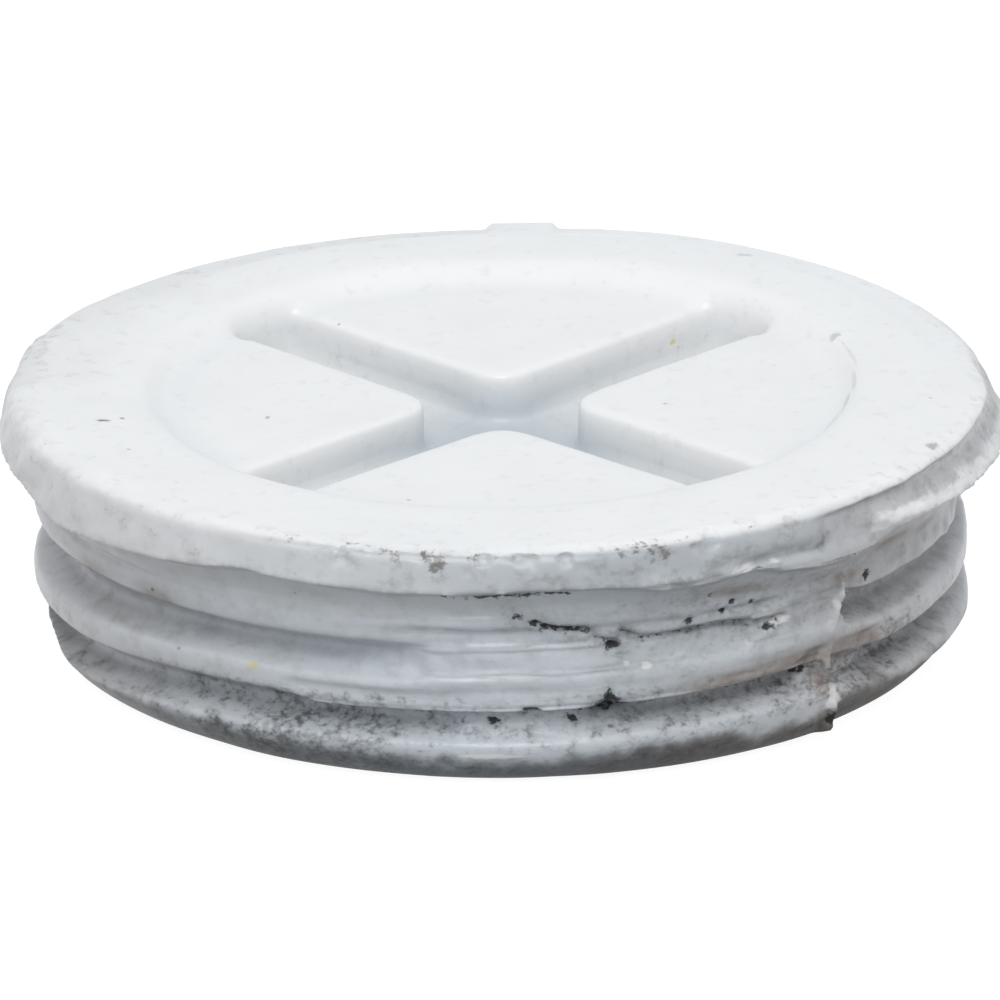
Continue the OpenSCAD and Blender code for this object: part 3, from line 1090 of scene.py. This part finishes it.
def cover_group():
    """A ragged mask: grows from scattered patches to full cover as Amount goes from 0 to 1."""
    made, tree, given, out = group("Cover", "Mask", Noise=0.5, Amount=0.5, Edge=0.15)
    even = tree.put(
        "ShaderNodeMapRange", {"Value": given["Noise"], "From Min": 0.3, "From Max": 0.7}).outputs["Result"]
    level = tree.math("SUBTRACT", 1.0, given["Amount"])
    mask = tree.ramp(
        even, tree.math("SUBTRACT", level, given["Edge"]), tree.math("ADD", level, given["Edge"]))
    some = tree.math("MULTIPLY", given["Amount"], 6.0, clamp=True)
    tree.links.new(tree.times(mask, some), out["Mask"])
    return made


def fleck_group():
    """A scatter of small flecks, of which only some cells have one."""
    made, tree, given, out = group("Flecks", "Mask", Spacing=1.0 * MM, Radius=0.05, Share=0.5, Bend=None)
    place = tree.put("ShaderNodeTexCoord").outputs["Object"]
    scale = tree.math("DIVIDE", 1.0, given["Spacing"])
    bend = tree.vector("MULTIPLY", given["Bend"], (0.25 * MM,) * 3)
    moved = tree.vector("ADD", place, bend)
    cells = tree.put("ShaderNodeTexVoronoi", {"Vector": moved, "Scale": scale})
    chance = tree.put("ShaderNodeSeparateColor", {"Color": cells.outputs["Color"]}).outputs
    radius = tree.times(given["Radius"], tree.math("ADD", chance["Green"], 0.3))
    dot = tree.ramp(cells.outputs["Distance"], radius, tree.times(radius, 0.3))
    chosen = tree.math("LESS_THAN", chance["Red"], given["Share"])
    tree.links.new(tree.times(dot, chosen), out["Mask"])
    return made


def spot_group():
    """One small mark: a soft ball round a place, stretched across, with a ragged edge."""
    made, tree, given, out = group("Mark", "Mask", Vector=None, Place=None, Reach=None, Noise=0.5)
    gap = tree.vector("SUBTRACT", given["Vector"], given["Place"])
    share = tree.vector("DIVIDE", gap, given["Reach"])
    ragged = tree.math("MULTIPLY_ADD", given["Noise"], 1.6, tree.vector("LENGTH", share, output="Value"))
    tree.links.new(tree.ramp(ragged, 1.8, 1.3), out["Mask"])
    return made


# Marks by their place and reach in millimetres, and the colour's name and strength
MARKS = (
    ((-11.17, -3.06, 7.4), (0.26, 0.11, 0.3), "rust", 0.85),
    ((-10.67, -2.89, 7.4), (0.1, 0.12, 0.3), "grime", 0.6),
    ((-6.58, -1.19, 6.8), (0.08, 0.16, 0.3), "grime", 0.45),
    ((4.88, 6.58, 6.2), (0.1, 0.3, 0.1), "yellow", 0.8),
    ((12.1, -5.75, 7.5), (0.24, 0.3, 0.3), "rust", 0.5),
    ((-6.94, -11.11, 2.99), (0.2, 0.5, 0.13), "yellow", 0.45),
    ((-7.08, -11.0, 3.66), (0.08, 0.6, 0.12), "black", 0.8),
    ((-9.76, -8.7, 4.42), (0.07, 0.6, 0.07), "black", 0.7),
    ((-9.78, -9.5, 6.3), (0.09, 0.6, 0.09), "grime", 0.5),
    ((-3.9, 5.75, 7.4), (0.25, 0.15, 0.3), "smudge_and_shade", 0.5),
    ((4.1, 8.0, 7.4), (0.3, 0.2, 0.3), "smudge_and_shade", 0.5),
    ((6.9, 10.2, 7.4), (0.3, 0.25, 0.3), "smudge_and_shade", 0.5),
    ((9.43, 3.6, 7.3), (0.22, 0.26, 0.5), "grime", 0.35),
)

# The crease at the dish's edge, painted as a line of shade with some dirt: angle, distance from the axis,
# half length and strength of each part
CREASE = ((12, 10.1, 1.9, 0.25), (1, 9.96, 1.7, 0.3), (-8, 9.82, 1.4, 0.5), (-17, 9.72, 1.5, 0.3))


class PLUG_OT_coat(bpy.types.Operator):
    """Give the casting its powder coat, with its dirt, bare metal, painted shade and painted highlights"""
    bl_idname = "plug.coat"
    bl_label = "Powder coat"

    def execute(self, context):
        c = colours()
        material, nodes, links = principled("powder_coat")
        tree = Tree(material.node_tree)
        shader = nodes["Principled BSDF"]
        cover, flecks, mark = cover_group(), fleck_group(), spot_group()
        place = tree.put("ShaderNodeTexCoord").outputs["Object"]
        along = tree.use(round_group())
        streaky = tree.vector("MULTIPLY", along, (0.3, 0.3, 1))
        on_wall = tree.vector("MULTIPLY", along, (0.8, 0.8, 1))
        is_wall = tree.math("GREATER_THAN", tree.mask("wall"), 0.4)
        here = tree.put(
            "ShaderNodeMix", {"Factor": is_wall, 4: place, 5: on_wall}, data_type="VECTOR").outputs[1]

        def noise(vector, size, detail, roughness=0.55):
            scale = 1 / (size * MM)
            inputs = {"Vector": vector, "Scale": scale, "Detail": detail, "Roughness": roughness}
            return tree.put("ShaderNodeTexNoise", inputs).outputs

        def ragged(grain, amount, edge):
            return tree.use(cover, Noise=grain, Amount=amount, Edge=edge)

        def layer(mask, amount, over):
            """Lays a colour over what is there, by a mask and how much of it counts."""
            nonlocal colour
            colour = tree.mix(tree.times(mask, amount), colour, over)

        broad = noise(place, 2.2, 3.0)["Fac"]
        middle = noise(here, 0.5, 3.0, 0.6)
        fine = noise(here, 0.17, 2.0, 0.6)["Fac"]
        streaks = noise(streaky, 0.28, 3.0, 0.6)["Fac"]

        # Grime carries painted shade as well as dirt.
        grime_and_shade_here, warm, wall = tree.mask("grime"), tree.mask("warm"), tree.mask("wall")
        grime_and_shade_colour = tree.mix(tree.mask("brown"), (*c.grime, 1), (*c.warm_grime_and_shade, 1))
        # The outer wall's coat is painted shade, darker than the top.
        shaded_coat = tree.mix(warm, (*c.shaded_wall_coat, 1), (*c.shaded_side_coat, 1))
        colour = tree.mix(wall, (*c.coat, 1), shaded_coat)
        # Painted shade low in the driver recess and on the slots' end walls.
        layer(tree.mask("pool"), 0.88, (*c.pool, 1))
        layer(ragged(broad, 0.35, 0.5), 0.05, (*c.smudge_and_shade, 1))
        dusty = ragged(middle["Fac"], tree.times(tree.mask("dust"), 0.75), 0.2)
        layer(dusty, 0.13, (*c.smudge_and_shade, 1))
        grains = ragged(fine, tree.times(tree.mask("dust"), 0.5), 0.12)
        layer(tree.times(grains, dusty), 0.35, (*c.smudge_and_shade, 1))
        scattered = tree.use(flecks, Spacing=1.5 * MM, Radius=0.07, Share=0.45, Bend=middle["Color"])
        layer(scattered, 0.5, grime_and_shade_colour)

        wall_share = tree.times(wall, ragged(middle["Fac"], 0.45, 0.3))
        layer(wall_share, 0.1, grime_and_shade_colour)
        drawn = tree.times(tree.math("SUBTRACT", streaks, 0.5), tree.mask("gritty"))
        uneven = tree.math("MULTIPLY_ADD", drawn, 0.9, 0.85)
        # The grime film paints dirt and shade in the grooves, under the head and on the foot.
        film = tree.math("MULTIPLY", grime_and_shade_here, uneven, clamp=True)
        colour = tree.mix(film, colour, grime_and_shade_colour)
        blotches = ragged(middle["Fac"], tree.times(grime_and_shade_here, 0.8), 0.4)
        layer(blotches, 0.3, grime_and_shade_colour)
        grit = ragged(fine, tree.times(grime_and_shade_here, tree.mask("gritty")), 0.4)
        layer(grit, 0.35, grime_and_shade_colour)
        specks = ragged(fine, tree.times(tree.mask("speck"), 0.72), 0.4)
        specks = tree.times(specks, ragged(middle["Fac"], tree.mask("speck"), 0.45))
        layer(specks, 0.6, (*c.black, 1))

        scraped = tree.math("MULTIPLY_ADD", streaks, 1.4, 0.15)
        bare = tree.math("MULTIPLY", tree.mask("bare"), scraped, clamp=True)
        layer(bare, 0.82, (*c.metal, 1))
        # Torn coat and painted highlights: the top's white laid over the wall's painted shade.
        torn = ragged(streaks, tree.times(tree.mask("white"), 0.85), 0.3)
        layer(torn, 0.72, (*c.coat, 1))
        chips = ragged(fine, tree.times(tree.mask("chips"), 0.75), 0.35)
        layer(chips, 0.72, (*c.rust, 1))
        # Black in the pits, scars and seams, and a painted shadow line under the head's edge.
        dirt = ragged(fine, tree.times(tree.mask("dirt"), 0.95), 0.25)
        layer(dirt, 0.9, (*c.black, 1))

        def marked(vector, centre, reach, name, amount):
            spot = tree.use(
                mark, Vector=vector, Place=[v * MM for v in centre],
                Reach=[v * MM for v in reach], Noise=fine)
            layer(spot, amount, (*getattr(c, name), 1))

        for one in MARKS:
            marked(place, *one)
        # A painted line of shade, with some dirt, along the dish's crease.
        for at, radius, half_length, amount in CREASE:
            centre = (math.radians(at + 90) * WALL_R, radius, 7.2)
            marked(along, centre, (half_length, 0.08, 0.8), "smudge_and_shade", amount)
        links.new(colour, shader.inputs["Base Color"])

        dull = tree.math("MULTIPLY_ADD", grime_and_shade_here, 0.4, c.coat_roughness, clamp=True)
        dull = tree.math("MULTIPLY_ADD", dirt, 0.5, dull, clamp=True)
        links.new(dull, shader.inputs["Roughness"])

        peel = noise(place, 0.7, 2.0, 0.4)["Fac"]
        rough_wall = tree.math("MULTIPLY_ADD", wall, 2.5, 1.0)
        ripple = tree.put("ShaderNodeBump", {"Strength": 1.0, "Distance": c.peel_depth, "Height": peel})
        crust = tree.math("SUBTRACT", tree.times(fine, rough_wall), tree.times(dirt, 3.0))
        crust = tree.math("ADD", crust, tree.times(drawn, 6.0))
        grain = tree.put(
            "ShaderNodeBump",
            {"Strength": 1.0, "Distance": c.grain_depth, "Normal": ripple.outputs["Normal"], "Height": crust})
        links.new(grain.outputs["Normal"], shader.inputs["Normal"])

        casting = bpy.data.objects["plug_casting"]
        casting.data.materials.clear()
        casting.data.materials.append(material)
        return {"FINISHED"}


# ---------------------------------------------------------------- stage


# Side of the bench, size and place of the lamp, and the reach of the view, in metres
BENCH_SIZE = 2.0
LAMP_SIZE = 0.3
LAMP_PLACE = (0, -0.33, 0.39)
VIEW_FROM, VIEW_TO = 0.01, 10
# Width of the camera's sensor, in millimetres
SENSOR_W = 36.0
LAMP_COLOUR = (1, 0.985, 0.965)
SKY_COLOUR = (0.92, 0.965, 1, 1)
# The bench as the plug sees it, and as the camera does
BENCH_COLOUR = (0.22, 0.22, 0.22, 1)
BENCH_GLOW = (0.93, 0.93, 0.93, 1)


def add_to_scene(name, data):
    obj = bpy.data.objects.new(name, data)
    bpy.context.scene.collection.objects.link(obj)
    return obj


def softbox(power):
    """A round lamp in front of the plug and above it, facing it."""
    light = bpy.data.lights.new("softbox", "AREA")
    light.shape = "DISK"
    light.size = LAMP_SIZE
    light.energy = power
    light.color = LAMP_COLOUR
    obj = add_to_scene("softbox", light)
    obj.location = LAMP_PLACE
    obj.rotation_euler = (-obj.location).to_track_quat("-Z", "Y").to_euler()


def bench():
    """A pale bench top: white to the camera, grey to the plug, with the plug's shadow kept."""
    deselect()
    bpy.ops.mesh.primitive_plane_add(size=BENCH_SIZE, location=(0, 0, 0))
    floor = bpy.context.object
    floor.name = "bench"
    material, nodes, links = principled("bench_top")
    shader = nodes["Principled BSDF"]
    shader.inputs["Base Color"].default_value = BENCH_COLOUR
    shader.inputs["Roughness"].default_value = 0.9
    tree = Tree(material.node_tree)
    path = tree.put("ShaderNodeLightPath").outputs
    seen = tree.math("MAXIMUM", path["Is Camera Ray"], path["Is Glossy Ray"])
    links.new(seen, shader.inputs["Emission Strength"])
    shader.inputs["Emission Color"].default_value = BENCH_GLOW
    floor.data.materials.append(material)


class PLUG_OT_stage(bpy.types.Operator):
    """Set the bench, the soft lights and the camera"""
    bl_idname = "plug.stage"
    bl_label = "Stage"

    def execute(self, context):
        st = context.scene.plug_stage
        bench()
        world = bpy.data.worlds.new("studio")
        context.scene.world = world
        world.use_nodes = True
        background = world.node_tree.nodes["Background"]
        background.inputs["Color"].default_value = SKY_COLOUR
        background.inputs["Strength"].default_value = st.sky
        softbox(st.key)

        camera = bpy.data.cameras.new("camera")
        camera.sensor_width = SENSOR_W
        camera.lens = SENSOR_W * st.camera_distance / st.view_w
        camera.clip_start, camera.clip_end = VIEW_FROM, VIEW_TO
        obj = add_to_scene("camera", camera)
        e = st.camera_elevation
        back = Vector((0, -math.cos(e), math.sin(e)))
        aim = Vector((st.aim_x, 0, st.aim_z))
        obj.location = aim + back * st.camera_distance
        obj.rotation_mode = "QUATERNION"
        obj.rotation_quaternion = (-back).to_track_quat("-Z", "Y")
        context.scene.camera = obj

        context.scene.view_settings.view_transform = "Standard"
        return {"FINISHED"}


# ---------------------------------------------------------------- panel and run


class PLUG_PT_panel(bpy.types.Panel):
    bl_label = "Closure plug"
    bl_idname = "PLUG_PT_panel"
    bl_space_type = "VIEW_3D"
    bl_region_type = "UI"
    bl_category = "Plug"

    def draw(self, context):
        for operator in OPERATORS:
            self.layout.operator(operator.bl_idname)
        scene = context.scene
        for settings in (scene.plug_sizes, scene.plug_colours, scene.plug_stage):
            box = self.layout.box()
            for name in settings.__annotations__:
                box.prop(settings, name)


OPERATORS = (PLUG_OT_cast, PLUG_OT_wear, PLUG_OT_coat, PLUG_OT_stage)
CLASSES = (PlugSizes, PlugColours, PlugStage, *OPERATORS, PLUG_PT_panel)


def register():
    for cls in CLASSES:
        bpy.utils.register_class(cls)
    bpy.types.Scene.plug_sizes = PointerProperty(type=PlugSizes)
    bpy.types.Scene.plug_colours = PointerProperty(type=PlugColours)
    bpy.types.Scene.plug_stage = PointerProperty(type=PlugStage)


def unregister():
    del bpy.types.Scene.plug_stage
    del bpy.types.Scene.plug_colours
    del bpy.types.Scene.plug_sizes
    for cls in reversed(CLASSES):
        bpy.utils.unregister_class(cls)


def main():
    register()
    bpy.ops.plug.cast()
    bpy.ops.plug.wear()
    bpy.ops.plug.coat()
    bpy.ops.plug.stage()


if __name__ == "__main__":
    main()
